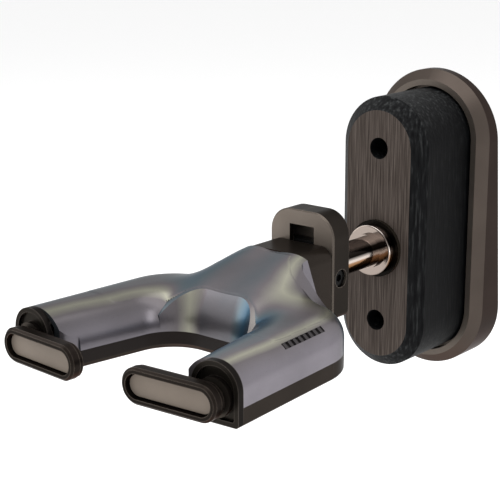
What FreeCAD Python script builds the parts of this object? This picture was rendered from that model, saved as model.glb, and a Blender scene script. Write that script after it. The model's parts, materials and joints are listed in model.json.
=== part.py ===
"""Wall-mounted guitar hanger with a swivelling yoke whose gates close under the neck.

Millimetres. The origin is on the wall face at the middle of the wood block. The shaft
points along -Y, +X is to the right and +Z is up. The yoke is drawn at the bottom of its
travel, where the guitar's weight holds both gates closed.
"""
import FreeCAD
import Part
import math
import os
import re

doc = FreeCAD.newDocument("GuitarHanger")

SIZES = {
    # wall plate and wood block; distances run forward from the wall face
    "plate_width": 54.8, "plate_height": 125.2, "plate_rim": 13.5,
    "plate_bevel": 3.9, "rim_width": 2.4, "plate_floor": 8.0, "wall_tilt": 5.0,
    "block_width": 40.0, "block_height": 110.4, "block_front": 47.2, "block_chamfer": 5.0,
    "screw_pitch": 70.4, "access_radius": 4.25, "wall_screw_radius": 2.6,
    "fixing_pitch": 88.0, "fixing_radius": 1.7, "fixing_head": 3.2, "fixing_length": 18.0,
    # swivel shaft, level with axis_height
    "axis_height": -4.95, "shaft_radius": 6.1, "running_gap": 0.05, "bush_radius": 8.6,
    "bush_back": 20.0, "collar_radius": 11.5, "collar_thick": 1.7, "disc_radius": 10.2,
    "disc_thick": 4.1, "disc_gap": 0.1, "boss_radius": 6.9, "boss_length": 2.0,
    "washer_radius": 9.4, "washer_thick": 1.5, "nut_flats": 18.0, "nut_thick": 5.4,
    "nut_pocket": 12.0,
    # slide housing
    "housing_front": 95.6, "housing_depth": 10.0, "housing_width": 29.7,
    "housing_top": 19.1, "housing_bottom": -21.2, "housing_corner": 9.3, "foot_corner": 3.0,
    "housing_floor": 2.0, "face_wall": 2.4, "edge_bevel": 0.5,
    "window_width": 11.4, "travel": 6.2, "slide_gap": 0.3, "stop_gap": 0.1,
    "slider_width": 22.4, "slider_thick": 4.6, "guide_radius": 1.5, "guide_head": 3.4,
    "guide_depth": 1.6, "guide_recess": 1.0, "guide_side": 90.8, "dowel_radius": 1.2,
    # yoke
    "neck_width": 29.0, "neck_top": 7.2, "neck_corner": 5.0, "neck_gap": 0.5,
    "cover_start": 111.1, "cover_foot": 101.0, "peg_length": 4.0, "tongue_cover": 2.5,
    "hump_start": 97.0, "hump_end": 151.0, "hump_flat": 12.0, "neck_spread": 9.0,
    "shoulder_spread": 40.0, "wing_height": -9.0, "hump_dip": 7.5, "hump_sweep": 25.0,
    "yoke_bottom": -24.2, "seam_height": -18.0, "arm_top": -4.0, "arm_width": 18.3,
    "tip_side": 42.0, "tip_front": 190.9, "splay": 4.0, "cradle_side": 27.6,
    "cradle_angle": 9.6, "root_front": 144.2, "root_radius": 15.0, "shoulder_back": 117.0,
    "shoulder_radius": 23.0, "waist_radius": 5.0, "nose_length": 9.0, "shell_wall": 2.0,
    "bottom_round": 1.2, "crown_outer": 9.0, "crown_inner": 13.4,
    "liner_thick": 1.4, "liner_height": 4.6, "cap_length": 2.6, "cap_lip": 1.7,
    "cap_recess": 1.2, "post_radius": 2.1, "screw_radius": 1.2, "screw_head": 2.0,
    "vent_length": 22.6, "vent_width": 2.4, "vent_depth": 1.4, "vent_start": 28.0,
    "vent_angle": 40.0, "vent_ribs": 8,
    # gates, rods and cranks, measured from the arm tip
    "rod_height": -15.65, "rod_radius": 2.5, "bush_outer": 6.6, "bush_proud": 0.7,
    "bush_length": 9.0, "gate_back": 2.7, "gate_seam": 4.1, "gate_front": 7.5,
    "gate_height": 12.4, "gate_reach": 25.4, "gate_bevel": 0.8, "gate_recess": 2.6,
    "gate_rim": 1.2, "pad_height": 7.3, "pad_thick": 0.9, "hub_radius": 4.6,
    "rib_start": 36.0, "rib_thick": 3.0, "rib_half": 6.6, "crank_start": 44.7,
    "crank_thick": 3.0, "crank_boss": 3.6, "pin_radius": 1.2, "pin_boss": 2.1,
    "pin_length": 4.0, "clip_radius": 4.2, "clip_thick": 0.8,
    # lift bar and return springs
    "stem_top": -6.9, "stem_height": 4.0, "stem_width": 5.0, "bar_back": 131.0,
    "bar_thick": 3.0, "bar_half": 36.5, "bar_web": 1.2, "spring_side": 6.5,
    "spring_radius": 1.5, "spring_wire": 0.25, "spring_top": -5.6, "spring_pitch": 1.5,
}

sheet = doc.addObject("Spreadsheet::Sheet", "Sizes")
for line, (alias, value) in enumerate(SIZES.items(), 1):
    sheet.set(f"A{line}", alias)
    sheet.set(f"B{line}", str(value))
    sheet.setAlias(f"B{line}", alias)
doc.recompute()


def size(alias):
    """Value of one cell of the sheet."""
    return float(sheet.get(alias))


def formula(text):
    """Expression in which every size name refers to the sheet."""
    return re.sub(r"[a-z]+_[a-z]+|splay|travel", lambda word: "Sizes." + word.group(0), text)


def bind(piece, **sizes):
    """Bind properties to formulas; __ in a name stands for a dot."""
    for name, text in sizes.items():
        piece.setExpression(name.replace("__", "."), formula(text))
    return piece


def box(name, x, y, z):
    """Box between (low, high) formulas on each axis."""
    piece = doc.addObject("Part::Box", name)
    spans = [f"({high}) - ({low})" for low, high in (x, y, z)]
    bind(piece, Length=spans[0], Width=spans[1], Height=spans[2])
    return bind(piece, Placement__Base__x=x[0], Placement__Base__y=y[0], Placement__Base__z=z[0])


def mirrored(side, low, high):
    """Span on the right-hand side, or its mirror image on the left."""
    return (low, high) if side > 0 else (f"-({high})", f"-({low})")


TURNS = {"x": ((0, 1, 0), 90), "y": ((1, 0, 0), -90), "z": ((0, 0, 1), 0)}


def place(piece, axis, start, middle):
    """Lay a piece made along Z on another axis, from start, about the middle (two formulas)."""
    turn, angle = TURNS[axis]
    piece.Placement.Rotation = FreeCAD.Rotation(FreeCAD.Vector(*turn), angle)
    around = list(middle)
    around.insert("xyz".index(axis), start)
    return bind(piece, Placement__Base__x=around[0], Placement__Base__y=around[1],
                Placement__Base__z=around[2])


def cylinder(name, axis, radius, span, middle=("0", "0")):
    """Cylinder along an axis between the span's two formulas."""
    piece = doc.addObject("Part::Cylinder", name)
    bind(piece, Radius=radius, Height=f"({span[1]}) - ({span[0]})")
    return place(piece, axis, span[0], middle)


def fuse(name, *pieces):
    """Union of pieces."""
    piece = doc.addObject("Part::MultiFuse", name)
    piece.Shapes = list(pieces)
    return piece


def cut(name, base, *tools):
    """Base less the tools."""
    piece = doc.addObject("Part::Cut", name)
    piece.Base = base
    piece.Tool = tools[0] if len(tools) == 1 else fuse(name + "_tools", *tools)
    return piece


def common(name, *pieces):
    """What the pieces share."""
    piece = doc.addObject("Part::MultiCommon", name)
    piece.Shapes = list(pieces)
    return piece


def compound(name, *pieces):
    """Separate solids kept as one sub-part."""
    piece = doc.addObject("Part::Compound", name)
    piece.Links = list(pieces)
    return piece


def edged(kind, name, base, radius, wanted):
    """Part::Fillet or Part::Chamfer on the base's edges that pass the test."""
    doc.recompute()
    piece = doc.addObject(kind, name)
    piece.Base = base
    numbered = enumerate(base.Shape.Edges, 1)
    piece.Edges = [(number, radius, radius) for number, edge in numbered if wanted(edge)]
    return piece


def level(edge, axis, value):
    """Whether an edge lies in the plane where the axis has the value."""
    ends = (getattr(edge.BoundBox, axis + "Min"), getattr(edge.BoundBox, axis + "Max"))
    return all(abs(end - value) < 0.01 for end in ends)


FACES = {
    "floor": FreeCAD.Rotation(),
    "front": FreeCAD.Rotation(FreeCAD.Vector(1, 0, 0), 90),
    "side": FreeCAD.Rotation(FreeCAD.Vector(1, 1, 1), 120),
}


def sketch(name, face, depth, edges):
    """Sketch on a plane across Z (floor), Y (front) or X (side), at a depth formula."""
    piece = doc.addObject("Sketcher::SketchObject", name)
    piece.Placement.Rotation = FACES[face]
    piece.addGeometry(edges, False)
    along = {"floor": "z", "front": "y", "side": "x"}[face]
    return bind(piece, **{"Placement__Base__" + along: depth})


def extrusion(name, profile, direction, length):
    """Solid drawn out of a sketch along a direction for a length formula."""
    piece = doc.addObject("Part::Extrusion", name)
    piece.Base = profile
    piece.DirMode = "Custom"
    piece.Dir = FreeCAD.Vector(*direction)
    piece.Solid = True
    return bind(piece, LengthFwd=length)


def corners(points):
    """Closed outline through (x, y, corner radius) points, its round corners as arcs."""
    edges = []
    stops = []
    for number, (x, y, radius) in enumerate(points):
        here = FreeCAD.Vector(x, y, 0)
        before = FreeCAD.Vector(*points[number - 1][:2], 0) - here
        after = FreeCAD.Vector(*points[(number + 1) % len(points)][:2], 0) - here
        before.normalize()
        after.normalize()
        if radius == 0:
            stops.append((here, here))
            continue
        half = before.getAngle(after) / 2
        reach = radius / math.tan(half)
        inward = before + after
        inward.normalize()
        centre = here + inward * (radius / math.sin(half))
        start, end = here + before * reach, here + after * reach
        middle = centre - inward * radius
        edges.append(Part.Arc(start, middle, end))
        stops.append((start, end))
    for number, (start, end) in enumerate(stops):
        last = stops[number - 1][1]
        if (start - last).Length > 1e-6:
            edges.append(Part.LineSegment(last, start))
    return edges


def stadium(width, height, inset=0.0, centre=(0.0, 0.0)):
    """Outline with two straight sides and half-round ends, drawn in by the inset."""
    half = min(width, height) / 2 - inset
    x, y = width / 2 - inset, height / 2 - inset
    round_end = half - 1e-4
    spots = ((-x, -y), (x, -y), (x, y), (-x, y))
    return corners([(centre[0] + a, centre[1] + b, round_end) for a, b in spots])


nodes = []


def node(piece, label):
    """Name a finished sub-part."""
    piece.Label = label
    nodes.append(piece)
    return piece


def on_arm(piece, side, height="rod_height"):
    """Move a piece drawn about the arm's tip to its place at the end of a splayed arm."""
    piece.Placement.Rotation = FreeCAD.Rotation(FreeCAD.Vector(0, 0, 1), 1)
    bind(piece, Placement__Rotation__Angle=f"{side} * splay")
    return bind(piece, Placement__Base__x=f"{side} * tip_side", Placement__Base__y="-tip_front",
                Placement__Base__z=height)


SIDES = (("left", -1), ("right", 1))


# ---- wall plate and wood block ---------------------------------------------------------

def back_plate():
    """Wedge that tips the hanger up from the wall, bevelled round its edge."""
    wide, tall = size("plate_width"), size("plate_height")
    body = extrusion("plate_body", sketch("plate_outline", "front", "20", stadium(wide, tall)),
                     (0, -1, 0), "plate_rim + 20")
    bevelled = edged("Part::Chamfer", "plate_bevelled", body, size("plate_bevel"),
                     lambda edge: level(edge, "Y", -size("plate_rim")))
    wall = box("wall_side", ("-plate_width", "plate_width"), ("0", "60"),
               ("-plate_height", "plate_height"))
    wall.Placement.Rotation = FreeCAD.Rotation(FreeCAD.Vector(1, 0, 0), 1)
    bind(wall, Placement__Rotation__Angle="wall_tilt",
         Placement__Base__y="plate_height * sin(wall_tilt)",
         Placement__Base__z="-plate_height * cos(wall_tilt)")
    edge = size("plate_bevel") + size("rim_width")
    seat = extrusion("plate_seat", sketch("seat_outline", "front", "-plate_floor",
                                          stadium(wide, tall, edge)), (0, -1, 0), "plate_rim")
    holes = [cylinder(f"plate_hole_{end}", "y", "wall_screw_radius", ("-plate_rim", "plate_rim"),
                      ("0", f"{end} * screw_pitch / 2")) for end in (-1, 1)]
    fixings = [cylinder(f"plate_fixing_{end}", "y", "fixing_radius", ("-plate_rim", "plate_rim"),
                        ("0", f"{end} * fixing_pitch / 2")) for end in (-1, 1)]
    heads = [cylinder(f"plate_sink_{end}", "y", "fixing_head", ("-plate_floor + 2", "plate_rim"),
                      ("0", f"{end} * fixing_pitch / 2")) for end in (-1, 1)]
    return cut("back_plate", bevelled, wall, seat, *holes, *fixings, *heads)


def wood_block():
    """Block with chamfered front, bored for the swivel bush and the two wall screws."""
    outline = stadium(size("block_width"), size("block_height"))
    body = extrusion("block_body", sketch("block_outline", "front", "-plate_floor", outline),
                     (0, -1, 0), "block_front - plate_floor")
    chamfered = edged("Part::Chamfer", "block_chamfered", body, size("block_chamfer"),
                      lambda edge: level(edge, "Y", -size("block_front")))
    through = ("-block_front - 1", "0")
    holes = [cylinder(f"access_{end}", "y", "access_radius", through,
                      ("0", f"{end} * screw_pitch / 2")) for end in (-1, 1)]
    pilots = [cylinder(f"pilot_{end}", "y", "fixing_radius", ("-plate_floor - fixing_length", "0"),
                       ("0", f"{end} * fixing_pitch / 2")) for end in (-1, 1)]
    bore = cylinder("bush_bore", "y", "bush_radius", through, ("0", "axis_height"))
    pocket = cylinder("nut_room", "y", "nut_pocket", ("-bush_back", "0"), ("0", "axis_height"))
    return cut("wood_block", chamfered, bore, pocket, *holes, *pilots)


def block_screws():
    """Two screws that hold the block to the plate from behind."""
    screws = []
    for end in (-1, 1):
        middle = ("0", f"{end} * fixing_pitch / 2")
        shank = cylinder(f"fixing_shank_{end}", "y", "fixing_radius",
                         ("-plate_floor - fixing_length + 1", "-plate_floor + 2"), middle)
        head = cylinder(f"fixing_cap_{end}", "y", "fixing_head - 0.1",
                        ("-plate_floor + 2", "-plate_floor + 3.6"), middle)
        screws.append(fuse(f"fixing_{end}", shank, head))
    return compound("block_screws", *screws)


# ---- swivel ------------------------------------------------------------------------------

ON_AXIS = ("0", "axis_height")
DISC_BACK = "block_front + collar_thick + disc_gap"
SHAFT_END = "(housing_front - face_wall - slide_gap - slider_thick - slide_gap)"


def shaft_bush():
    """Flanged sleeve that lines the block; its collar stands on the block's face."""
    sleeve = cylinder("sleeve", "y", "bush_radius", ("-block_front - 0.1", "-bush_back"), ON_AXIS)
    collar = cylinder("collar", "y", "collar_radius", ("-block_front - collar_thick",
                                                       "-block_front"), ON_AXIS)
    bore = cylinder("sleeve_bore", "y", "shaft_radius + running_gap", ("-housing_front", "0"),
                    ON_AXIS)
    return cut("shaft_bush", fuse("bush_body", sleeve, collar), bore)


def swivel_shaft():
    """Polished shaft with a thrust disc in front of the bush and a thread behind it."""
    rod = cylinder("shaft_rod", "y", "shaft_radius", (f"-{SHAFT_END}", "-bush_back + 7"), ON_AXIS)
    disc = cylinder("shaft_disc", "y", "disc_radius", (f"-({DISC_BACK}) - disc_thick",
                                                       f"-({DISC_BACK})"), ON_AXIS)
    boss = cylinder("shaft_boss", "y", "boss_radius",
                    (f"-({DISC_BACK}) - disc_thick - boss_length", f"-({DISC_BACK})"), ON_AXIS)
    rounded = edged("Part::Fillet", "disc_rounded", disc, 0.6, lambda edge: len(edge.Vertexes) == 1)
    return fuse("swivel_shaft", rod, rounded, boss)


def thrust_washer():
    """Washer that turns against the back of the bush."""
    ring = cylinder("washer_ring", "y", "washer_radius",
                    ("-bush_back + disc_gap", "-bush_back + disc_gap + washer_thick"), ON_AXIS)
    hole = cylinder("washer_hole", "y", "shaft_radius", ("-block_front", "0"), ON_AXIS)
    return cut("thrust_washer", ring, hole)


def lock_nut():
    """Hexagon nut that keeps the shaft in the block."""
    hexagon = doc.addObject("Part::Prism", "hexagon")
    hexagon.Polygon = 6
    bind(hexagon, Circumradius="nut_flats / sqrt(3)", Height="nut_thick")
    place(hexagon, "y", "-bush_back + disc_gap + washer_thick", ON_AXIS)
    hole = cylinder("nut_hole", "y", "shaft_radius", ("-block_front", "0"), ON_AXIS)
    return cut("lock_nut", hexagon, hole)


# ---- slide housing -----------------------------------------------------------------------

SLIDER_FOOT = "(housing_bottom + housing_floor + stop_gap)"
SLIDER_FRONT = "(housing_front - face_wall - slide_gap)"
CAVITY = (("-slider_width / 2 - slide_gap", "slider_width / 2 + slide_gap"),
          ("-housing_front + face_wall", f"-{SHAFT_END}"),
          ("housing_bottom + housing_floor", "neck_top + travel + slide_gap"))
WINDOW_SILL = f"{SLIDER_FOOT} - stop_gap + slide_gap"


def housing_form():
    """Both halves of the housing as one solid, with the slide way cut out."""
    half, top, foot = size("housing_width") / 2, size("housing_top"), size("housing_bottom")
    crown, toe = size("housing_corner"), size("foot_corner")
    outline = corners([(-half, foot, toe), (half, foot, toe), (half, top, crown),
                       (-half, top, crown)])
    body = extrusion("housing_body", sketch("housing_outline", "front",
                                            "-housing_front + housing_depth", outline),
                     (0, -1, 0), "housing_depth")
    ends = (-size("housing_front"), -size("housing_front") + size("housing_depth"))
    bevelled = edged("Part::Chamfer", "housing_bevelled", body, size("edge_bevel"),
                     lambda edge: any(level(edge, "Y", end) for end in ends))
    way = box("slide_way", *CAVITY)
    window = box("window", ("-window_width / 2", "window_width / 2"),
                 ("-housing_front - 1", "-housing_front + face_wall + 1"),
                 (WINDOW_SILL, "neck_top + travel + 0.05"))
    shaft_hole = cylinder("shaft_hole", "y", "shaft_radius", ("-housing_front + face_wall", "-50"),
                          ON_AXIS)
    tools = [way, window, shaft_hole]
    for name, side in SIDES:
        wall = mirrored(side, "0", "housing_width")
        tools.append(cylinder(f"guide_hole_{name}", "x", "guide_radius", wall,
                              ("-guide_side", "axis_height - 0.4")))
        recess = mirrored(side, "housing_width / 2 - guide_recess - 1.6", "housing_width")
        tools.append(cylinder(f"guide_sink_{name}", "x", "guide_head", recess,
                              ("-guide_side", "axis_height - 0.4")))
    for place_name, height in DOWELS:
        tools.append(cylinder(f"dowel_hole_{place_name}", "x", "dowel_radius", ("-6", "6"),
                              ("-guide_side", height)))
    return cut("housing_form", bevelled, *tools)


DOWELS = (("high", "housing_top - 2.8"),)


def housing_half(form, name, side):
    """One half of the housing, split down the middle."""
    half = box(f"{name}_side", mirrored(side, "0", "housing_width"),
               ("-housing_front - 5", "-housing_front + 20"), ("housing_bottom - 5",
                                                               "housing_top + 5"))
    return common(f"housing_{name}", form, half)


def housing_dowel():
    """Dowel that lines the two halves up over the window."""
    return cylinder("housing_dowel", "x", "dowel_radius", ("-6", "6"),
                    ("-guide_side", DOWELS[0][1]))


def guide_screw(name, side):
    """Socket screw whose tip runs in the slider's groove and keeps it in the housing."""
    outer = "housing_width / 2 - guide_recess"
    middle = ("-guide_side", "axis_height - 0.4")
    tip = "slider_width / 2 - guide_depth + slide_gap"
    head = cylinder(f"screw_head_{name}", "x", "guide_head", mirrored(side, f"{outer} - 1.6", outer),
                    middle)
    shank = cylinder(f"screw_shank_{name}", "x", "guide_radius", mirrored(side, tip, outer), middle)
    socket = doc.addObject("Part::Prism", f"screw_socket_{name}")
    socket.Polygon = 6
    bind(socket, Circumradius="guide_radius", Height="1.2")
    place(socket, "x", mirrored(side, f"{outer} - 1.1", f"{outer} + 0.1")[0], middle)
    return cut(f"guide_screw_{name}", fuse(f"screw_solid_{name}", head, shank), socket)


def slide_block():
    """Slider that runs up and down in the housing, with the tongue that carries the yoke."""
    tall = (SLIDER_FOOT, "neck_top")
    plate = box("slider", ("-slider_width / 2", "slider_width / 2"),
                (f"-{SLIDER_FRONT}", f"-{SLIDER_FRONT} + slider_thick"), tall)
    tongue = box("tongue", ("-window_width / 2 + slide_gap", "window_width / 2 - slide_gap"),
                 ("-housing_front - neck_gap - peg_length", f"-{SLIDER_FRONT} + 1"),
                 (f"{WINDOW_SILL} + stop_gap", "neck_top - tongue_cover"))
    tools = [stem_passage()]
    for name, side in SIDES:
        groove = mirrored(side, "slider_width / 2 - guide_depth", "slider_width / 2 + 1")
        tools.append(box(f"groove_{name}", groove,
                         ("-guide_side - guide_radius - 0.2", "-guide_side + guide_radius + 0.2"),
                         ("axis_height - 0.4 - guide_radius - travel - 0.3",
                          "axis_height - 0.4 + guide_radius + 0.3")))
        tools.append(cylinder(f"spring_pocket_{name}", "z", "spring_radius + spring_wire + 0.2",
                              ("housing_bottom", "spring_top + 0.05"),
                              (f"{side} * spring_side", SPRING_DEPTH)))
    return cut("slide_block", fuse("slider_body", plate, tongue), *tools)


def stem_passage():
    """Way for the lift bar's stem through the slider and the neck, over the whole travel."""
    return box("stem_passage", ("-stem_width / 2 - slide_gap", "stem_width / 2 + slide_gap"),
               ("-cover_start - 10", "-50"),
               ("stem_top - stem_height - travel - slide_gap", "stem_top + slide_gap"))


SPRING_DEPTH = f"-{SLIDER_FRONT} + slider_thick / 2"


def return_spring(name, side):
    """Coil spring that lifts the yoke when the guitar is taken off."""
    coil = doc.addObject("Part::Helix", f"coil_{name}")
    bind(coil, Radius="spring_radius", Pitch="spring_pitch",
         Height="spring_top - spring_wire - (housing_bottom + housing_floor + spring_wire)")
    wire = doc.addObject("Part::Circle", f"wire_{name}")
    wire.Placement.Rotation = FreeCAD.Rotation(FreeCAD.Vector(1, 0, 0), 90)
    bind(wire, Radius="spring_wire", Placement__Base__x="spring_radius")
    spring = doc.addObject("Part::Sweep", f"return_spring_{name}")
    spring.Sections = [wire]
    spring.Spine = (coil, ["Edge1"])
    spring.Solid = True
    spring.Frenet = True
    return bind(spring, Placement__Base__x=f"{side} * spring_side", Placement__Base__y=SPRING_DEPTH,
                Placement__Base__z="housing_bottom + housing_floor + spring_wire")


def lift_bar():
    """Bar on the shaft's end that reaches through the neck and holds the crank pins level."""
    stem = box("stem", ("-stem_width / 2", "stem_width / 2"),
               ("-bar_back - bar_thick", f"-{SHAFT_END}"), ("stem_top - stem_height", "stem_top"))
    low, high = f"rod_height + {PIN_SIDE} - {SLOT_HALF} - bar_web", f"rod_height + {PIN_SIDE} + " \
        f"{SLOT_HALF} + bar_web"
    drop = box("stem_drop", ("-stem_width / 2", "stem_width / 2"),
               ("-bar_back - bar_thick", "-bar_back"), (low, "stem_top"))
    cross = box("cross_bar", ("-bar_half", "bar_half"), ("-bar_back - bar_thick", "-bar_back"),
                (low, high))
    fingers = [bar_finger(name, side) for name, side in SIDES]
    return fuse("lift_bar", stem, drop, cross, *fingers)


PIN_SIDE = "travel / 2"
PIN_REACH = "travel / sqrt(2)"
SLOT_HALF = "(pin_radius + 0.4)"
PLATE_START = "crank_start + crank_thick + slide_gap"


def bar_finger(name, side):
    """Slotted end of the lift bar behind one crank."""
    tall = (f"{PIN_SIDE} - {SLOT_HALF} - bar_web", f"{PIN_SIDE} + {SLOT_HALF} + bar_web")
    plate = box(f"slot_plate_{name}", mirrored(side, "-3.5", f"{PIN_REACH} + {SLOT_HALF}"),
                (PLATE_START, f"{PLATE_START} + bar_thick"), tall)
    web = box(f"finger_web_{name}", mirrored(side, "-3.5", "-1"),
              (PLATE_START, "tip_front - bar_back - 0.5"), tall)
    slot = box(f"pin_slot_{name}", mirrored(side, f"{PIN_SIDE} - {SLOT_HALF}", "9"),
               ("crank_start", "tip_front - bar_back - bar_thick - 1"),
               (f"{PIN_SIDE} - {SLOT_HALF}", f"{PIN_SIDE} + {SLOT_HALF}"))
    return on_arm(cut(f"finger_{name}", fuse(f"finger_body_{name}", plate, web), slot), side)


# ---- yoke ----------------------------------------------------------------------------------

def meet(start, along, other, beside):
    """Where a plan line from start crosses one from other."""
    return start + along * ((other - start).cross(beside).z / along.cross(beside).z)


def half_plan(half_neck, neck_back, grow=0.0):
    """Right half of the yoke's plan from the neck to the root of the U; grow < 0 insets it."""
    splay, flare = math.radians(size("splay")), math.radians(size("cradle_angle"))
    ahead = FreeCAD.Vector(math.sin(splay), -math.cos(splay), 0)
    across = FreeCAD.Vector(math.cos(splay), math.sin(splay), 0)
    inner_ahead = FreeCAD.Vector(math.sin(flare), -math.cos(flare), 0)
    inner_across = FreeCAD.Vector(math.cos(flare), math.sin(flare), 0)
    sideways = FreeCAD.Vector(1, 0, 0)
    tip = FreeCAD.Vector(size("tip_side"), -size("tip_front"), 0) + ahead * grow
    outer = tip + across * (size("arm_width") / 2 + grow)
    cradle = FreeCAD.Vector(size("cradle_side"), -size("tip_front"), 0) - inner_across * grow
    inner = meet(cradle, inner_ahead, tip, across)
    shoulder = FreeCAD.Vector(0, -size("shoulder_back") + grow, 0)
    root = FreeCAD.Vector(0, -size("root_front") - grow, 0)
    outer_corner = meet(outer, ahead, shoulder, sideways)
    inner_corner = meet(cradle, inner_ahead, root, sideways)
    return [(half_neck, neck_back, 0), (half_neck, shoulder.y, size("waist_radius") - grow),
            (outer_corner.x, shoulder.y, size("shoulder_radius") + grow),
            (outer.x, outer.y, 0), (inner.x, inner.y, 0),
            (inner_corner.x, root.y, size("root_radius") - grow)]


def whole_plan(half_neck, neck_back, grow=0.0):
    """Closed plan outline of the yoke, symmetric about X = 0."""
    right = half_plan(half_neck, neck_back, grow)
    left = [(-x, y, radius) for x, y, radius in reversed(right)]
    return corners(right + left)


def along_arms(edge, height):
    """Whether an edge at the height runs along the arms and shoulders, not over a tip."""
    middle = edge.BoundBox.Center
    at_tip = -middle.y > size("tip_front") - size("arm_width") / 4 - size("shell_wall") * 1.2
    at_neck = -middle.y < size("housing_front") + size("housing_depth")
    return level(edge, "Z", height) and not at_tip and not (at_neck and abs(middle.x) < 1)


def around_cradle(edge, height):
    """Whether an edge at the height follows the inside of the U."""
    middle = edge.BoundBox.Center
    ahead = -middle.y > size("root_front") - size("shell_wall") - 1
    return level(edge, "Z", height) and ahead and abs(middle.x) < (
        size("tip_side") - size("arm_width") / 2)


NOSE_SIDE = "(tip_side - cradle_side)"
NOSE_DEPTH = f"({NOSE_SIDE} - arm_width / 2)"
NOSE_RADIUS = f"(({NOSE_DEPTH}^2 + nose_length^2) / (2 * {NOSE_DEPTH}))"


def nose(name, side, inset="0"):
    """What is cut away to round the inner corner at the end of an arm."""
    block = box(f"{name}_block", mirrored(-side, f"{NOSE_SIDE} - {NOSE_RADIUS}",
                                          f"{NOSE_SIDE} + 3"),
                ("-5", "nose_length"), ("-60", "60"))
    round_corner = cylinder(f"{name}_round", "z", f"{NOSE_RADIUS} - {inset}", ("-61", "61"), (
        f"{-side} * ({NOSE_SIDE} - {NOSE_RADIUS})", "nose_length"))
    return on_arm(cut(name, block, round_corner), side, "0")


def crowned(name, body, height, wall):
    """Body with its top edges rounded: tightly outside, widely round the U."""
    outside = edged("Part::Fillet", f"{name}_outside", body, size("crown_outer") - wall,
                    lambda edge: along_arms(edge, height) and not around_cradle(edge, height))
    return edged("Part::Fillet", f"{name}_crowned", outside, size("crown_inner") - wall,
                 lambda edge: around_cradle(edge, height))


def yoke_solid():
    """Outer shape of the arms and shoulders, round on top."""
    back = -size("housing_front") - size("neck_gap")
    outline = whole_plan(size("neck_width") / 2, back)
    body = extrusion("yoke_body", sketch("yoke_plan", "floor", "yoke_bottom", outline),
                     (0, 0, 1), "arm_top - yoke_bottom")
    rounded = edged("Part::Fillet", "yoke_rounded", crowned("yoke", body, size("arm_top"), 0),
                    size("bottom_round"), lambda edge: along_arms(edge, size("yoke_bottom")))
    return cut("yoke_nosed", rounded, *[nose(f"nose_{name}", side) for name, side in SIDES])


def yoke_room():
    """Hollow inside the yoke for the rods, cranks and lift bar."""
    wall = size("shell_wall")
    outline = whole_plan(size("neck_width") / 2 - wall, -size("cover_foot") - wall, -wall)
    body = extrusion("room_body", sketch("room_plan", "floor", "yoke_bottom + shell_wall", outline),
                     (0, 0, 1), "arm_top - yoke_bottom - 2 * shell_wall")
    return cut("yoke_room", crowned("room", body, size("arm_top") - wall, wall),
               *[nose(f"room_nose_{name}", side, "shell_wall") for name, side in SIDES])


def neck_profile(name, depth):
    """Cross-section of the neck with its rounded top."""
    half, top, corner = size("neck_width") / 2, size("neck_top"), size("neck_corner")
    foot = size("yoke_bottom") + size("shell_wall")
    outline = corners([(-half, foot, 0), (half, foot, 0), (half, top, corner),
                       (-half, top, corner)])
    return sketch(name, "front", depth, outline)


HUMP_STEPS = 6


def hump_section(number):
    """Bell-shaped cross-section of the hump, wider and lower towards the front."""
    share = number / HUMP_STEPS
    front = size("hump_start") + (size("hump_end") - size("hump_start")) * share
    fall = max(0.0, (front - size("cover_start")) / (size("hump_end") - size("cover_start")))
    dip = size("hump_dip") * fall ** 4
    top = size("neck_top") + (size("arm_top") - size("neck_top")) * fall - dip
    spread = size("neck_spread") + (size("shoulder_spread") - size("neck_spread")) * share
    wing = size("wing_height") - dip
    right = []
    for step in range(5):
        part = step / 4
        height = top - (top - wing) * part ** 2 * (3 - 2 * part)
        right.append(FreeCAD.Vector(size("hump_flat") + spread * part, height, 0))
    left = [FreeCAD.Vector(-point.x, point.y, 0) for point in right]
    bell = Part.BSplineCurve()
    bell.interpolate(list(reversed(right)) + [FreeCAD.Vector(0, top, 0)] + left)
    foot_right = FreeCAD.Vector(right[-1].x, size("seam_height"), 0)
    foot_left = FreeCAD.Vector(left[-1].x, size("seam_height"), 0)
    outline = [bell, Part.LineSegment(left[-1], foot_left), Part.LineSegment(foot_left, foot_right),
               Part.LineSegment(foot_right, right[-1])]
    return sketch(f"hump_section_{number}", "front",
                  f"-(hump_start + (hump_end - hump_start) * {share})", outline)


def hump():
    """Raised back of the cover, which spreads from the neck into the shoulders."""
    loft = doc.addObject("Part::Loft", "hump_loft")
    loft.Sections = [hump_section(number) for number in range(HUMP_STEPS + 1)]
    loft.Solid = True
    back = -size("housing_front") - size("neck_gap")
    prism = extrusion("hump_prism", sketch("hump_plan", "floor", "seam_height",
                                           whole_plan(size("neck_width") / 2, back)),
                      (0, 0, 1), "neck_top - seam_height + 1")
    tip, corner = half_plan(0, 0)[-2:]
    outline = corners([tip, corner, (-corner[0], *corner[1:]), (-tip[0], *tip[1:])])
    void = extrusion("cradle_void", sketch("cradle_plan", "floor", "seam_height - 1", outline),
                     (0, 0, 1), "neck_top - seam_height + 3")
    block = box("crown_block", ("-60", "60"), ("-hump_end - 3", "-hump_start"),
                ("seam_height", "neck_top + 0.5"))
    crown = edged("Part::Fillet", "hump_crown", cut("crown_cut", block, void), size("hump_sweep"),
                  lambda edge: around_cradle(edge, size("neck_top") + 0.5))
    return common("hump", loft, prism, crown)


def behind_cover():
    """Everything above the seam behind the slanting back edge of the cover."""
    block = box("behind_block", ("-60", "60"), ("0", "60"), ("-60", "60"))
    behind = compound("behind_cover", block)
    behind.Placement.Rotation = FreeCAD.Rotation(FreeCAD.Vector(1, 0, 0), 1)
    return bind(behind, Placement__Base__y="-cover_start", Placement__Base__z="neck_top",
                Placement__Rotation__Angle="atan2(cover_start - cover_foot; neck_top - seam_height)")


def cover_form(solid):
    """Outer form of the cover before it is hollowed."""
    arms = common("cover_arms", solid, above_seam("cover_slab", "seam_height", "neck_top + 5"))
    return cut("cover_form", fuse("cover_whole", arms, hump()), behind_cover())


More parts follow.
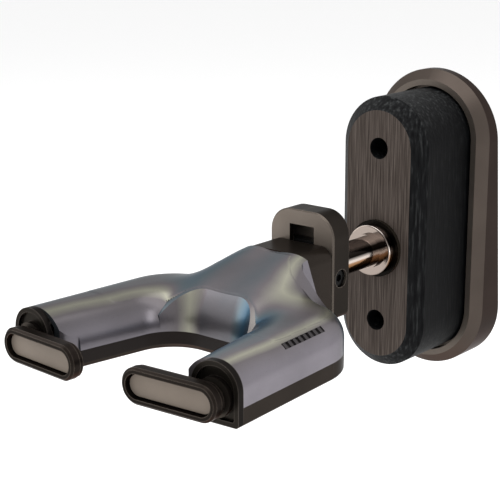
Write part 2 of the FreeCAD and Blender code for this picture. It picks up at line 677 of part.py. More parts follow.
def above_seam(name, low, high):
    """Slab across the whole yoke between two heights."""
    return box(name, ("-100", "100"), ("-tip_front - 30", "-housing_front"), (low, high))


def tip_slab(name, side, depth):
    """Slab square to an arm that takes in its end for a depth formula."""
    slab = box(name, ("-arm_width", "arm_width"), ("-10", depth), ("-60", "60"))
    return on_arm(compound(name + "_placed", slab), side)


def cover_points():
    """Places of the cover's screw posts: two on the shoulders, one in each arm."""
    splay = math.radians(size("splay"))
    spots = []
    for _, side in SIDES:
        spots.append((side * 24.0, -size("shoulder_back") - 6.5))
        along, across = 20.0, -4.9
        spots.append((side * (size("tip_side") - along * math.sin(splay) + across * math.cos(splay)),
                      -size("tip_front") + along * math.cos(splay) + across * math.sin(splay)))
    return spots


def post(name, radius, spot, span):
    """Upright cylinder at a screw's place."""
    return cylinder(name, "z", radius, span, (str(spot[0]), str(spot[1])))


def vent_box(name, side, top, start="vent_start", length="vent_length"):
    """Block that fills the slot in the arm's outer shoulder up to a height over its crown."""
    crown = "arm_width / 2 - 0.15"
    block = box(name, ("-vent_width / 2", "vent_width / 2"), (start, f"{start} + {length}"),
                (f"{crown} - vent_depth", f"{crown} + {top}"))
    tilted = compound(name + "_tilted", block)
    tilted.Placement.Rotation = FreeCAD.Rotation(FreeCAD.Vector(0, 1, 0), 1)
    return bind(tilted, Placement__Rotation__Angle=f"{side} * vent_angle",
                Placement__Base__z="arm_top - arm_width / 2")


def top_cover(solid, room, form):
    """Metal-finish shell over the arms and shoulders."""
    hollow = cut("cover_hollow", form, room, stem_passage(),
                 *[tip_slab(f"cover_tip_{name}", side, "cap_length") for name, side in SIDES])
    pegs = [post(f"post_{n}", "post_radius", spot, ("yoke_bottom + shell_wall", "arm_top - 1"))
            for n, spot in enumerate(cover_points())]
    posts = common("cover_posts", solid, fuse("cover_pegs", *pegs))
    holes = [post(f"post_hole_{n}", "screw_radius", spot, ("yoke_bottom", "seam_height + 2"))
             for n, spot in enumerate(cover_points())]
    slots = [on_arm(compound(f"vent_slot_{name}", vent_box(f"slot_{name}", side, "3")), side, "0")
             for name, side in SIDES]
    return cut("top_cover", fuse("cover_posted", hollow, posts), *holes, *slots)


def yoke_frame(solid, room, form, liner):
    """Lower frame: tray, neck and the bearings at the back of each rod."""
    tray = common("tray", solid, above_seam("tray_slab", "yoke_bottom - 1", "seam_height"))
    block = extrusion("neck_block", neck_profile("neck_outline", "-housing_front - neck_gap"),
                      (0, -1, 0), "cover_start - housing_front - neck_gap")
    neck = cut("frame_neck", block, form)
    hollow = cut("frame_hollow", fuse("frame_body", tray, neck), room, stem_passage(), liner,
                 tongue_pocket(), *[tip_slab(f"frame_tip_{name}", side, "cap_length")
                                    for name, side in SIDES])
    bearings = [on_arm(cut(f"rib_{name}", box(
        f"rib_block_{name}", ("-rib_half", "rib_half"),
        ("rib_start", "rib_start + rib_thick"),
        ("yoke_bottom - rod_height", "rod_radius + shell_wall")),
        cylinder(f"rib_bore_{name}", "y", "rod_radius + running_gap",
                 ("rib_start - 1", "rib_start + rib_thick + 1"))), side)
        for name, side in SIDES]
    holes = [post(f"floor_hole_{n}", "screw_radius + 0.1", spot, ("yoke_bottom - 1",
                                                                 "yoke_bottom + shell_wall"))
             for n, spot in enumerate(cover_points())]
    sinks = [post(f"floor_sink_{n}", "screw_head + 0.1", spot, ("yoke_bottom - 1",
                                                               "yoke_bottom + 1.2"))
             for n, spot in enumerate(cover_points())]
    return cut("yoke_frame", fuse("frame_ribbed", hollow, *bearings), *holes, *sinks)


def tongue_pocket():
    """Pocket in the neck that the slider's tongue is pressed into."""
    return box("tongue_pocket", ("-window_width / 2 + slide_gap", "window_width / 2 - slide_gap"),
               ("-housing_front - neck_gap - peg_length", "-housing_front"),
               (f"{WINDOW_SILL} + stop_gap", "neck_top - tongue_cover"))


def cradle_liner(solid):
    """Rubber strip along the inside of the U, under the cover's edge."""
    thick = size("liner_thick")
    strip = cut("liner_ring", extrusion(
        "liner_whole", sketch("liner_plan", "floor", "seam_height - liner_height", whole_plan(
            size("neck_width") / 2, -size("housing_front"))), (0, 0, 1), "liner_height"),
        extrusion("liner_core", sketch("liner_inner", "floor", "seam_height - liner_height - 1",
                                       whole_plan(size("neck_width") / 2 - thick,
                                                  -size("housing_front") - thick, -thick)),
                  (0, 0, 1), "liner_height + 2"))
    splay = math.radians(size("splay"))
    front = -size("tip_front") + size("cap_length") * math.cos(splay)
    tip = size("tip_side") - size("cap_length") * math.sin(splay)
    back = -size("root_front") + thick + 0.5
    inner = tip + (front - back) * math.tan(splay)
    between = corners([(-tip, front, 0), (tip, front, 0), (inner, back, 0), (-inner, back, 0)])
    region = extrusion("liner_region", sketch("liner_zone", "floor", "seam_height - 20", between),
                       (0, 0, 1), "40")
    return common("cradle_liner", strip, region, solid)


def cover_screws():
    """Four screws up through the frame into the cover's posts."""
    screws = []
    for number, spot in enumerate(cover_points()):
        head = post(f"cover_screw_head_{number}", "screw_head", spot,
                    ("yoke_bottom + 0.1", "yoke_bottom + 1.2"))
        shank = post(f"cover_screw_shank_{number}", "screw_radius", spot,
                     ("yoke_bottom + 1", "seam_height + 1.5"))
        screws.append(fuse(f"cover_screw_{number}", head, shank))
    return compound("cover_screws", *screws)


def arch_outline(inset):
    """Outline of an arm's end, round on top, drawn in by the inset."""
    half = size("arm_width") / 2 - inset
    foot, top = size("yoke_bottom") + inset, size("arm_top") - inset
    round_top, foot_corner = half - 0.3, 1.0
    return corners([(-half, foot, foot_corner), (half, foot, foot_corner),
                    (half, top, round_top), (-half, top, round_top)])


def arm_cap(solid, room, name, side):
    """End of one arm, recessed inside a lip and bored for the rod bush."""
    arch = on_arm(extrusion(f"cap_arch_{name}", sketch(f"cap_plan_{name}", "front", "cap_length + 1",
                                                       arch_outline(0)), (0, -1, 0), "10"), side, "0")
    body = common(f"cap_body_{name}", solid, arch,
                  tip_slab(f"cap_slab_{name}", side, "cap_length"))
    recess = extrusion(f"cap_recess_{name}", sketch(f"cap_recess_plan_{name}", "front", "cap_recess",
                                                    arch_outline(size("cap_lip"))), (0, -1, 0), "10")
    bore = cylinder(f"cap_bore_{name}", "y", "bush_outer", ("-5", "cap_length + 5"),
                    ("0", "rod_height"))
    tools = on_arm(fuse(f"cap_tools_{name}", recess, bore), side, "0")
    return cut(f"arm_cap_{name}", body, room, tools)


def rod_bush(name, side):
    """Bearing for the rod in the end of the arm."""
    flange = cylinder(f"bush_flange_{name}", "y", "bush_outer", ("-bush_proud", "cap_length"))
    sleeve = cylinder(f"bush_sleeve_{name}", "y", "bush_outer - 2.2", ("-bush_proud",
                                                                      "bush_length"))
    bore = cylinder(f"bush_bore_{name}", "y", "rod_radius + running_gap", ("-5", "20"))
    return on_arm(cut(f"rod_bush_{name}", fuse(f"bush_{name}", flange, sleeve), bore), side)


def shoulder_vent(name, side):
    """Ribbed insert in the slot on the outer shoulder of the arm."""
    base = vent_box(f"vent_base_{name}", side, "-0.7")
    step = "(vent_length / vent_ribs)"
    ribs = [vent_box(f"vent_rib_{name}_{number}", side, "0",
                     f"(vent_start + {step} * ({number} + 0.25))", f"{step} / 2")
            for number in range(int(size("vent_ribs")))]
    return on_arm(fuse(f"shoulder_vent_{name}", base, *ribs), side, "0")


# ---- gates ---------------------------------------------------------------------------------

def gate_outline(side, inset=0.0):
    """Outline of a gate that reaches inward from its pivot, in the arm's own frame."""
    reach, height = size("gate_reach"), size("gate_height")
    return stadium(reach + height, height, inset, (-side * reach / 2, 0.0))


def gate_body(name, side):
    """Front of the gate: bevelled outside, with a recess for the pad."""
    body = extrusion(f"gate_solid_{name}", sketch(f"gate_plan_{name}", "front", "-gate_seam",
                                                  gate_outline(side)), (0, -1, 0),
                     "gate_front - gate_seam")
    bevelled = edged("Part::Chamfer", f"gate_bevelled_{name}", body, size("gate_bevel"),
                     lambda edge: level(edge, "Y", -size("gate_front")))
    inset = size("gate_bevel") + size("gate_rim")
    recess = extrusion(f"gate_recess_{name}", sketch(
        f"gate_recess_plan_{name}", "front", "-gate_front + gate_recess",
        gate_outline(side, inset)), (0, -1, 0), "5")
    return on_arm(cut(f"gate_body_{name}", bevelled, recess), side)


def gate_back(name, side):
    """Back plate of the gate with the hub that is fixed on the rod."""
    plate = extrusion(f"back_solid_{name}", sketch(f"back_plan_{name}", "front", "-gate_back",
                                                   gate_outline(side, 0.3)), (0, -1, 0),
                      "gate_seam - gate_back")
    hub = cylinder(f"gate_hub_{name}", "y", "hub_radius", ("-gate_back - 0.5",
                                                          "-bush_proud - slide_gap"))
    bore = cylinder(f"gate_bore_{name}", "y", "rod_radius", ("-gate_seam - 1", "5"))
    return on_arm(cut(f"gate_back_{name}", fuse(f"back_{name}", plate, hub), bore), side)


def gate_pad(name, side):
    """Pad set in the gate's recess."""
    inset = (size("gate_height") - size("pad_height")) / 2
    pad = extrusion(f"pad_solid_{name}", sketch(f"pad_plan_{name}", "front",
                                                "-gate_front + gate_recess",
                                                gate_outline(side, inset)), (0, -1, 0),
                    "pad_thick")
    return on_arm(compound(f"gate_pad_{name}", pad), side)


def gate_rod(name, side):
    """Rod along the arm that turns the gate."""
    rod = cylinder(f"rod_{name}", "y", "rod_radius", ("-gate_seam", "crank_start + crank_thick"))
    return on_arm(compound(f"gate_rod_{name}", rod), side)


def rod_clip(name, side):
    """Ring that keeps the rod in its bush."""
    ring = cylinder(f"clip_ring_{name}", "y", "clip_radius",
                    ("bush_length + disc_gap", "bush_length + disc_gap + clip_thick"))
    hole = cylinder(f"clip_hole_{name}", "y", "rod_radius", ("0", "20"))
    return on_arm(cut(f"rod_clip_{name}", ring, hole), side)


def gate_crank(name, side):
    """Crank on the rod's inner end; its pin runs in the lift bar's slot."""
    span = ("crank_start", "crank_start + crank_thick")
    pin_place = (f"{side} * {PIN_SIDE}", PIN_SIDE)
    boss = cylinder(f"crank_boss_{name}", "y", "crank_boss", span)
    end = cylinder(f"crank_end_{name}", "y", "pin_boss", span, pin_place)
    pin = cylinder(f"crank_pin_{name}", "y", "pin_radius",
                   ("crank_start", "crank_start + crank_thick + pin_length"), pin_place)
    bore = cylinder(f"crank_bore_{name}", "y", "rod_radius", ("0", "crank_start + crank_thick"))
    body = cut(f"crank_body_{name}", fuse(f"crank_solid_{name}", boss, end, pin), bore)
    return on_arm(compound(f"gate_crank_{name}", body), side)


# ---- assembly ------------------------------------------------------------------------------

node(back_plate(), "back_plate")
node(wood_block(), "wood_block")
node(block_screws(), "block_screws")
node(shaft_bush(), "shaft_bush")
node(swivel_shaft(), "swivel_shaft")
node(thrust_washer(), "thrust_washer")
node(lock_nut(), "lock_nut")
housing = housing_form()
for word, sign in SIDES:
    node(housing_half(housing, word, sign), f"housing_{word}")
    node(guide_screw(word, sign), f"guide_screw_{word}")
    node(return_spring(word, sign), f"return_spring_{word}")
node(housing_dowel(), "housing_dowel")
node(lift_bar(), "lift_bar")
node(slide_block(), "slide_block")

yoke, inside = yoke_solid(), yoke_room()
outside, strip = cover_form(yoke), cradle_liner(yoke)
node(yoke_frame(yoke, inside, outside, strip), "yoke_frame")
node(top_cover(yoke, inside, outside), "top_cover")
node(strip, "cradle_liner")
node(cover_screws(), "cover_screws")
for word, sign in SIDES:
    node(arm_cap(yoke, inside, word, sign), f"arm_cap_{word}")
    node(rod_bush(word, sign), f"rod_bush_{word}")
    node(shoulder_vent(word, sign), f"shoulder_vent_{word}")
    node(gate_body(word, sign), f"gate_body_{word}")
    node(gate_back(word, sign), f"gate_back_{word}")
    node(gate_pad(word, sign), f"gate_pad_{word}")
    node(gate_rod(word, sign), f"gate_rod_{word}")
    node(rod_clip(word, sign), f"rod_clip_{word}")
    node(gate_crank(word, sign), f"gate_crank_{word}")

doc.recompute()
for piece in doc.Objects:
    if "Invalid" in piece.State or "Error" in piece.State:
        raise RuntimeError(f"{piece.Name} did not build: {piece.State}")
os.makedirs("parts", exist_ok=True)
for piece in nodes:
    if piece.Shape.isNull() or not piece.Shape.isValid():
        raise RuntimeError(f"{piece.Label} has no valid shape")
    piece.Shape.exportStep(f"parts/{piece.Label}.step")
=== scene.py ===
"""Looks of the wall guitar hanger: materials, finer pieces, soft studio light and camera.

Metres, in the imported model's frame: -Y forward, +X right, +Z up, origin on the wall face.
"""

import json
import math

import bpy
import numpy as np
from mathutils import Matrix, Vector
from mathutils.bvhtree import BVHTree


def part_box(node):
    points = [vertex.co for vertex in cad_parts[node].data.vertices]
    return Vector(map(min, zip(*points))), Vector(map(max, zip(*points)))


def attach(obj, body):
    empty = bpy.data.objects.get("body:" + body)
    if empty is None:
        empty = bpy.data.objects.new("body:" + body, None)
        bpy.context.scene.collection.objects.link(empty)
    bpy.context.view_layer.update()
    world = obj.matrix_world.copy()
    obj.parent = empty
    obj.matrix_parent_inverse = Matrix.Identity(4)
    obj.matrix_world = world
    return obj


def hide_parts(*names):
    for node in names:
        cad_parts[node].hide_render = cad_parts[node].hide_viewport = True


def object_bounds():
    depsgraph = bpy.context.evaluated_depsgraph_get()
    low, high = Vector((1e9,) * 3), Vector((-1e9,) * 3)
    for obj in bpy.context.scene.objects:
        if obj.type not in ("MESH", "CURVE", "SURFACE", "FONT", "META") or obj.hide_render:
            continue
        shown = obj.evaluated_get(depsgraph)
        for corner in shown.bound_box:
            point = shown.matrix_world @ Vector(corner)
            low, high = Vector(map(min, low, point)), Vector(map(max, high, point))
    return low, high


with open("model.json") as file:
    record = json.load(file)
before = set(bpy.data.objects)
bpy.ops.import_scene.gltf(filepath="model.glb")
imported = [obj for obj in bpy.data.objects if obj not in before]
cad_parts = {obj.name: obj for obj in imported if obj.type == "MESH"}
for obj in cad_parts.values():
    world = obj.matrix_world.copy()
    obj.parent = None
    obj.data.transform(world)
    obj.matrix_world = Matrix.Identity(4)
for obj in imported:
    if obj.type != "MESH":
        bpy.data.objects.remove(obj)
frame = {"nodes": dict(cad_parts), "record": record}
CAD_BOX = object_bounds()
nodes = frame["nodes"]


# ---- materials -------------------------------------------------------------------------

def shader(name, colour, metallic, roughness, **sockets):
    """New material with its Principled shader set; returns (material, tree, shader node)."""
    material = bpy.data.materials.new(name)
    material.use_nodes = True
    tree = material.node_tree
    principled = tree.nodes["Principled BSDF"]
    principled.inputs["Base Color"].default_value = (*colour, 1.0)
    principled.inputs["Metallic"].default_value = metallic
    principled.inputs["Roughness"].default_value = roughness
    principled.inputs["Specular IOR Level"].default_value = 0.2
    principled.inputs["Specular Tint"].default_value = (0.45, 0.45, 0.45, 1.0)
    for socket, value in sockets.items():
        principled.inputs[socket.replace("_", " ")].default_value = value
    return material, tree, principled


def place(tree, output="Object"):
    """The object's own coordinates, or its own surface direction."""
    return tree.nodes.new("ShaderNodeTexCoord").outputs[output]


def noise(tree, stretch, scale, detail=4.0):
    """Noise over the object's own coordinates, stretched along its axes."""
    mapping = tree.nodes.new("ShaderNodeMapping")
    mapping.inputs["Scale"].default_value = stretch
    texture = tree.nodes.new("ShaderNodeTexNoise")
    texture.inputs["Scale"].default_value = scale
    texture.inputs["Detail"].default_value = detail
    tree.links.new(place(tree), mapping.inputs["Vector"])
    tree.links.new(mapping.outputs["Vector"], texture.inputs["Vector"])
    return texture.outputs["Fac"]


def spread(tree, value, low, high, start=0.0, end=1.0):
    """Value between start and end, stretched to low and high."""
    node = tree.nodes.new("ShaderNodeMapRange")
    node.inputs["From Min"].default_value = start
    node.inputs["From Max"].default_value = end
    node.inputs["To Min"].default_value = low
    node.inputs["To Max"].default_value = high
    tree.links.new(value, node.inputs["Value"])
    return node.outputs["Result"]


def ramp(tree, value, stops):
    """Colour ramp from a value; stops are (place, colour)."""
    node = tree.nodes.new("ShaderNodeValToRGB")
    while len(node.color_ramp.elements) < len(stops):
        node.color_ramp.elements.new(0.5)
    for element, (where, colour) in zip(node.color_ramp.elements, stops):
        element.position = where
        element.color = (*colour, 1.0)
    tree.links.new(value, node.inputs["Fac"])
    return node.outputs["Color"]


def facing(tree, axis):
    """How far the surface faces along one axis of the object, from -1 to 1."""
    split = tree.nodes.new("ShaderNodeSeparateXYZ")
    tree.links.new(place(tree, "Normal"), split.inputs["Vector"])
    return split.outputs[axis]


def mix(tree, share, first, second, kind="MIX"):
    """Blend of two colours, sockets or constants, by a share."""
    node = tree.nodes.new("ShaderNodeMix")
    node.data_type = "RGBA"
    node.blend_type = kind
    for name, value in (("Factor", share), ("A", first), ("B", second)):
        socket = next(s for s in node.inputs if s.name == name and s.enabled)
        if isinstance(value, bpy.types.NodeSocket):
            tree.links.new(value, socket)
        elif isinstance(value, tuple):
            socket.default_value = (*value, 1.0)
        else:
            socket.default_value = value
    return next(s for s in node.outputs if s.name == "Result" and s.enabled)


def bump(tree, principled, value, strength, depth):
    """Fine relief from a value."""
    node = tree.nodes.new("ShaderNodeBump")
    node.inputs["Strength"].default_value = strength
    node.inputs["Distance"].default_value = depth
    tree.links.new(value, node.inputs["Height"])
    tree.links.new(node.outputs["Normal"], principled.inputs["Normal"])


def painted_edge_highlight(tree, colour, light, radius=0.0005):
    """Painted highlight: lets a colour run lighter along the edges."""
    rounded = tree.nodes.new("ShaderNodeBevel")
    rounded.inputs["Radius"].default_value = radius
    flat = tree.nodes.new("ShaderNodeNewGeometry")
    match = tree.nodes.new("ShaderNodeVectorMath")
    match.operation = "DOT_PRODUCT"
    tree.links.new(rounded.outputs["Normal"], match.inputs[0])
    tree.links.new(flat.outputs["True Normal"], match.inputs[1])
    # painted highlight share: 1 where the rounded normal turns away from the flat one, 0 on flat
    # faces
    edge_highlight_share = spread(tree, match.outputs["Value"], 1.0, 0.0, 0.8, 0.97)
    return mix(tree, edge_highlight_share, colour, light)


def mottled(tree, principled, colour, roughness, grain, relief):
    """Slight cloud in the colour, fine specks in the gloss and relief."""
    cloud = noise(tree, (1, 1, 1), 60.0)
    shade = ramp(tree, cloud, [(0.25, (0.8, 0.8, 0.8)), (0.75, (1.0, 1.0, 1.0))])
    tree.links.new(mix(tree, 1.0, colour, shade, "MULTIPLY"), principled.inputs["Base Color"])
    speck = noise(tree, (1, 1, 1), grain, 2.0)
    tree.links.new(spread(tree, speck, roughness * 0.8, roughness * 1.2),
                   principled.inputs["Roughness"])
    bump(tree, principled, speck, 0.3, relief)


def satin(name, colour, metallic, roughness, grain=2600.0, relief=0.00002, **sockets):
    """Even satin coat with a faint mottle."""
    material, tree, principled = shader(name, colour, metallic, roughness, **sockets)
    mottled(tree, principled, colour, roughness, grain, relief)
    return material


def coat_with_painted_light(name, front, side, under, roughness, metallic=0.8, edge=None):
    """Metal coat painted light on front faces, with painted shade round the sides and a warm
    tint painted underneath; an edge colour adds a painted highlight.
    """
    material, tree, principled = shader(name, side, metallic, roughness)
    # painted light and shade: front faces take the front colour, other faces the shaded side
    # colour
    ahead = spread(tree, facing(tree, "Y"), 1.0, 0.0, -0.95, -0.55)
    # warm tint painted on the downward faces
    below = spread(tree, facing(tree, "Z"), 1.0, 0.0, -0.9, -0.3)
    colour = mix(tree, ahead, mix(tree, below, side, under), front)
    # painted highlight along the edges
    if edge:
        colour = painted_edge_highlight(tree, colour, edge)
    mottled(tree, principled, colour, roughness, 2600.0, 0.00002)
    return material


def silver_coat():
    """Satin silver with painted reflections: its tint turns from blue over grey and a cream
    highlight to lavender with direction.
    """
    material, tree, principled = shader("cover_silver", (0.16, 0.15, 0.16), 0.85, 0.3,
                                        Coat_Weight=0.2, Coat_Roughness=0.2)
    sideways = spread(tree, facing(tree, "X"), 0.0, 1.0, -1.0, 1.0)
    cloud = noise(tree, (1, 1, 1), 38.0, 2.0)
    shifted = tree.nodes.new("ShaderNodeMath")
    shifted.operation = "ADD"
    tree.links.new(sideways, shifted.inputs[0])
    tree.links.new(spread(tree, cloud, -0.06, 0.06), shifted.inputs[1])
    # painted reflections and highlights: dark mauve, blue, grey, a cream highlight and lavender
    # as the surface turns from left to right
    painted_reflection_tint = ramp(tree, shifted.outputs["Value"], [
        (0.05, (0.08, 0.07, 0.08)), (0.3, (0.03, 0.075, 0.12)), (0.43, (0.07, 0.095, 0.11)),
        (0.53, (0.115, 0.103, 0.11)), (0.66, (0.23, 0.225, 0.18)), (0.78, (0.1, 0.09, 0.094)),
        (0.97, (0.135, 0.125, 0.14))])
    # painted light: the colour runs brighter towards the right
    across = tree.nodes.new("ShaderNodeSeparateXYZ")
    tree.links.new(place(tree), across.inputs["Vector"])
    side = spread(tree, across.outputs["X"], 0.95, 1.55, -0.03, 0.04)
    painted_right_light = tree.nodes.new("ShaderNodeCombineColor")
    for channel in ("Red", "Green", "Blue"):
        tree.links.new(side, painted_right_light.inputs[channel])
    lit = mix(tree, 1.0, painted_reflection_tint, painted_right_light.outputs["Color"], "MULTIPLY")
    # painted cyan highlight on the faces turned back
    cyan_highlight_share = spread(tree, facing(tree, "Y"), 0.0, 1.0, 0.35, 0.85)
    colour = mix(tree, cyan_highlight_share, lit, (0.05, 0.17, 0.23))
    mottled(tree, principled, colour, 0.3, 3200.0, 0.00001)
    return material


def brushed_wood():
    """Dark stained wood, brushed upright on its face and rougher round the edge, with painted
    shade: darker round the sides and nearly black on the sides facing right.
    """
    material, tree, principled = shader("dark_wood", (0.05, 0.04, 0.034), 0.0, 0.6,
                                        Specular_IOR_Level=0.12)
    grain = noise(tree, (2600, 2600, 60), 1.0, 7.0)
    face = ramp(tree, grain, [(0.3, (0.024, 0.018, 0.015)), (0.5, (0.052, 0.041, 0.035)),
                              (0.72, (0.1, 0.082, 0.072))])
    # side colour: coarse end grain, painted darker than the front as shade
    coarse = noise(tree, (900, 900, 120), 1.0, 7.0)
    edge = ramp(tree, coarse, [(0.35, (0.002, 0.002, 0.0024)), (0.55, (0.008, 0.0085, 0.009)),
                               (0.8, (0.05, 0.052, 0.052))])
    # painted shade: the sides facing right run nearly black
    shaded = spread(tree, facing(tree, "X"), 1.0, 0.16, 0.5, 0.98)
    dark = mix(tree, shaded, (0.0004, 0.0005, 0.0008), edge)
    ahead = spread(tree, facing(tree, "Y"), 1.0, 0.0, -0.98, -0.8)
    tree.links.new(mix(tree, ahead, dark, face), principled.inputs["Base Color"])
    tree.links.new(spread(tree, grain, 0.5, 0.75), principled.inputs["Roughness"])
    bump(tree, principled, coarse, 0.5, 0.00012)
    return material


def polished_metal():
    """Bright polish with painted reflections: bands painted by direction, as a turned part
    mirrors its surroundings.
    """
    material, tree, principled = shader("polished_shaft", (0.8, 0.74, 0.7), 1.0, 0.08)
    # painted reflections: dark, gold and white bands by how far the surface faces up or down
    height = spread(tree, facing(tree, "Z"), 0.0, 1.0, -1.0, 1.0)
    reflection_bands = ramp(tree, height, [
        (0.0, (0.12, 0.06, 0.03)), (0.25, (0.006, 0.005, 0.004)), (0.45, (0.3, 0.16, 0.08)),
        (0.56, (0.75, 0.66, 0.6)), (0.66, (0.006, 0.005, 0.004)), (0.8, (0.02, 0.016, 0.014)),
        (0.9, (0.7, 0.62, 0.58))])
    # front faces keep one even colour in place of the painted bands
    ahead = spread(tree, facing(tree, "Y"), 1.0, 0.0, -0.95, -0.5)
    turned = noise(tree, (1, 900, 1), 30.0, 2.0)
    tree.links.new(mix(tree, ahead, reflection_bands, (0.3, 0.25, 0.22)), principled.inputs["Base Color"])
    tree.links.new(spread(tree, turned, 0.05, 0.14), principled.inputs["Roughness"])
    bump(tree, principled, turned, 0.08, 0.00001)
    return material


# Coat colours: front and side colours are copies of one coat painted with light and shade by
# direction; the under colour is a warm tint painted on downward faces
LIT_FRONT_TAUPE, SHADED_SIDE_BRONZE, UNDERSIDE_WARM_TINT = (0.2, 0.168, 0.142), (0.022, 0.018, 0.015), (0.06, 0.022, 0.012)
MATERIALS = {
    "plate_metal": coat_with_painted_light("plate_metal", (0.13, 0.11, 0.094), (0.036, 0.025, 0.021), UNDERSIDE_WARM_TINT, 0.36),
    "dark_wood": brushed_wood(),
    "fixing_steel": satin("fixing_steel", (0.1, 0.1, 0.1), 1.0, 0.35),
    "bronze_collar": coat_with_painted_light("bronze_collar", (0.006, 0.005, 0.004), (0.06, 0.05, 0.038), UNDERSIDE_WARM_TINT,
                            0.25),
    "polished_shaft": polished_metal(),
    # edge colour: painted highlight along the housing's edges
    "housing_metal": coat_with_painted_light("housing_metal", LIT_FRONT_TAUPE, SHADED_SIDE_BRONZE, UNDERSIDE_WARM_TINT, 0.34,
                            edge=(0.2, 0.17, 0.145)),
    "black_screw": satin("black_screw", (0.012, 0.012, 0.012), 0.8, 0.2),
    "bar_steel": satin("bar_steel", (0.3, 0.3, 0.3), 1.0, 0.4),
    "spring_steel": satin("spring_steel", (0.4, 0.4, 0.4), 1.0, 0.3),
    "slider_plastic": satin("slider_plastic", (0.006, 0.006, 0.006), 0.0, 0.4),
    "frame_dark": coat_with_painted_light("frame_dark", (0.05, 0.036, 0.03), (0.03, 0.024, 0.02), UNDERSIDE_WARM_TINT, 0.3),
    "cover_silver": silver_coat(),
    "liner_rubber": satin("liner_rubber", (0.009, 0.006, 0.005), 0.0, 0.42, 1800.0, 0.00004),
    # edge colour: painted highlight along the cap's edges
    "cap_dark": coat_with_painted_light("cap_dark", (0.02, 0.017, 0.014), (0.012, 0.01, 0.009), UNDERSIDE_WARM_TINT, 0.32,
                       edge=(0.09, 0.078, 0.068)),
    "bush_dark": coat_with_painted_light("bush_dark", (0.05, 0.042, 0.035), (0.02, 0.016, 0.014), UNDERSIDE_WARM_TINT, 0.32),
    "vent_dark": satin("vent_dark", (0.06, 0.055, 0.057), 0.7, 0.35),
    # edge colour: painted highlight along the gate's edges
    "gate_dark": coat_with_painted_light("gate_dark", (0.014, 0.011, 0.009), (0.016, 0.012, 0.01), UNDERSIDE_WARM_TINT, 0.32,
                        edge=(0.13, 0.108, 0.09)),
    "pad_grey": satin("pad_grey", (0.19, 0.158, 0.13), 0.2, 0.45, 1800.0, 0.00003),
}
SLOTS = {part["node"]: part["material_slot"] for part in frame["record"]["subparts"]}
for name, piece in nodes.items():
    piece.data.materials.clear()
    piece.data.materials.append(MATERIALS[SLOTS[name]])


# ---- finer pieces ----------------------------------------------------------------------------

GRID = 0.0006                    # spacing of the slopes' points
INSET = 8                        # grid steps kept clear of the cover's rim
BLUR = 40                        # passes that soften the edge of the slopes' area
FILL_STEPS = 700                 # passes that fill the hollows
SOFTEN_STEPS = 16                # passes that soften what is left of the creases
LIFT = 0.00015                   # slopes stand this far over the cover, and sink so at the edge
FRONT_MARGIN = 0.004
FRONT_FADE = (0.021, 0.031)      # from the cover's front, where the slopes run out
REAR_STEP = 0.0104               # from the cover's back to its slanting edge at the top
REAR_SLANT = 0.4
REAR_FADE = 0.003
RIM = 0.006                      # lowest height of the slopes above the cover's foot


def ease(value, start, end):
    """0 before start, 1 past end, smooth between."""
    share = np.clip((value - start) / (end - start), 0.0, 1.0)
    return share * share * (3 - 2 * share)


def around(heights):
    """Mean of the four neighbours of every point of a grid."""
    padded = np.pad(heights, 1, mode="edge")
    return (padded[:-2, 1:-1] + padded[2:, 1:-1] + padded[1:-1, :-2] + padded[1:-1, 2:]) / 4


def draped_grid(tree, low, high):
    """Grid over the cover with the height of the cover's outside at each point."""
    across = np.arange(low.x, high.x, GRID)
    along = np.arange(low.y + FRONT_FADE[0] - FRONT_MARGIN, high.y, GRID)
    heights = np.full((len(across), len(along)), low.z)
    down = Vector((0, 0, -1))
    for i, x in enumerate(across):
        for j, y in enumerate(along):
            hit = tree.ray_cast(Vector((x, y, high.z + 0.01)), down)[0]
            if hit is not None:
                heights[i, j] = hit.z
    return across, along, heights


def slope_share(along, heights, low, high):
    """How fully the slopes cover each grid point: 1 in the middle, 0 at rim, front and rear."""
    inside = np.pad(heights > low.z + RIM, INSET)
    for _ in range(INSET):
        inside[1:-1, 1:-1] &= (inside[:-2, 1:-1] & inside[2:, 1:-1]
                               & inside[1:-1, :-2] & inside[1:-1, 2:])
    inside = inside[INSET:-INSET, INSET:-INSET]
    share = inside.astype(float)
    for _ in range(BLUR):
        share = around(share) * inside
    share = ease(share, 0.0, 0.6)
    front = ease(along, low.y + FRONT_FADE[0], low.y + FRONT_FADE[1])[None, :]
    rear = high.y - REAR_STEP + (high.z - heights) * REAR_SLANT
    share *= front * ease(rear - along[None, :], 0.0, REAR_FADE)
    return share


def filled_heights(heights, share):
    """Heights once the hollows are filled and the creases softened."""
    filled = heights.copy()
    for _ in range(FILL_STEPS):
        filled = np.maximum(heights, filled + share * 0.9 * (around(filled) - filled))
    for _ in range(SOFTEN_STEPS):
        filled += share * 0.9 * (around(filled) - filled)
    filled += LIFT * (2 * ease(share, 0.0, 0.5) - 1)
    return filled


def slopes(tree, low, high):
    """Points and faces that fill the hollows beside the hump."""
    across, along, heights = draped_grid(tree, low, high)
    share = slope_share(along, heights, low, high)
    filled = filled_heights(heights, share)
    kept = share > 0.0
    whole = kept[:-1, :-1] & kept[1:, :-1] & kept[:-1, 1:] & kept[1:, 1:]
    indices, points, faces = {}, [], []
    for i, j in zip(*np.nonzero(whole)):
        corners = ((i, j), (i + 1, j), (i + 1, j + 1), (i, j + 1))
        for corner in corners:
            if corner not in indices:
                indices[corner] = len(points)
                points.append((across[corner[0]], along[corner[1]], filled[corner]))
        faces.append([indices[corner] for corner in corners])
    return points, faces


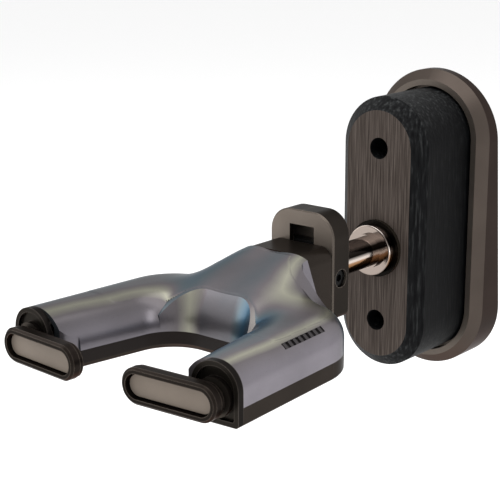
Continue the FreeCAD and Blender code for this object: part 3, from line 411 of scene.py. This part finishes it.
def blended_cover():
    """The cover with soft slopes laid over the hollows beside its hump."""
    low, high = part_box("top_cover")
    cover = nodes["top_cover"]
    tree = BVHTree.FromObject(cover, bpy.context.evaluated_depsgraph_get())
    points, faces = slopes(tree, low, high)
    mesh = bpy.data.meshes.new("slopes")
    mesh.from_pydata(points, [], faces)
    mesh.polygons.foreach_set("use_smooth", [True] * len(mesh.polygons))
    top = bpy.data.objects.new("slopes", mesh)
    shell = bpy.data.objects.new("shell", cover.data.copy())
    for piece in (top, shell):
        bpy.context.collection.objects.link(piece)
        piece.data.materials.clear()
        piece.data.materials.append(MATERIALS["cover_silver"])
    with bpy.context.temp_override(object=shell, active_object=shell,
                                   selected_objects=[shell, top],
                                   selected_editable_objects=[shell, top]):
        bpy.ops.object.join()
    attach(shell, "yoke")
    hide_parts("top_cover")


blended_cover()


# ---- stage, light and camera --------------------------------------------------------------

FLOOR_DROP = 0.06


def floor():
    """Plain pale floor a little below the plate."""
    height = CAD_BOX[0][2] - FLOOR_DROP
    bpy.ops.mesh.primitive_plane_add(size=12, location=(0, 0, height))
    plane = bpy.context.object
    plane.name = "floor"
    material, _, _ = shader("floor", (0.93, 0.93, 0.93), 0.0, 0.8)
    plane.data.materials.append(material)


def softbox(name, place, aim, width, height, power):
    """Rectangular soft light that faces a point."""
    data = bpy.data.lights.new(name, "AREA")
    data.shape = "RECTANGLE"
    data.size, data.size_y = width, height
    data.energy = power
    lamp = bpy.data.objects.new(name, data)
    bpy.context.collection.objects.link(lamp)
    lamp.location = place
    lamp.rotation_euler = (Vector(aim) - Vector(place)).to_track_quat("-Z", "Y").to_euler()


def sky(strength):
    """Even pale surroundings."""
    world = bpy.data.worlds.new("studio")
    world.use_nodes = True
    background = world.node_tree.nodes["Background"]
    background.inputs["Color"].default_value = (1.0, 1.0, 1.0, 1.0)
    background.inputs["Strength"].default_value = strength
    bpy.context.scene.world = world


def camera():
    """Camera in front of the yoke, to the right and a little above it."""
    azimuth, drop = math.radians(39.56), math.radians(15.68)
    data = bpy.data.cameras.new("camera")
    data.lens = 98.25
    data.shift_x = -0.0497
    data.shift_y = 0.0365
    eye = bpy.data.objects.new("camera", data)
    bpy.context.collection.objects.link(eye)
    eye.location = (0.3042, -0.4794, 0.1344)
    ahead = Vector((-math.sin(azimuth) * math.cos(drop), math.cos(azimuth) * math.cos(drop),
                    -math.sin(drop)))
    eye.rotation_euler = ahead.to_track_quat("-Z", "Y").to_euler()
    bpy.context.scene.camera = eye


floor()
sky(1.0)
CENTRE = (0.0, -0.1, 0.0)
softbox("top", (0.1, -0.25, 0.8), CENTRE, 0.9, 0.9, 4.5)
softbox("left", (-0.8, -0.5, 0.35), CENTRE, 0.5, 0.9, 3.5)
softbox("right", (0.9, -0.1, 0.3), CENTRE, 0.3, 0.9, 2.5)
camera()
bpy.context.scene.view_settings.view_transform = "Standard"
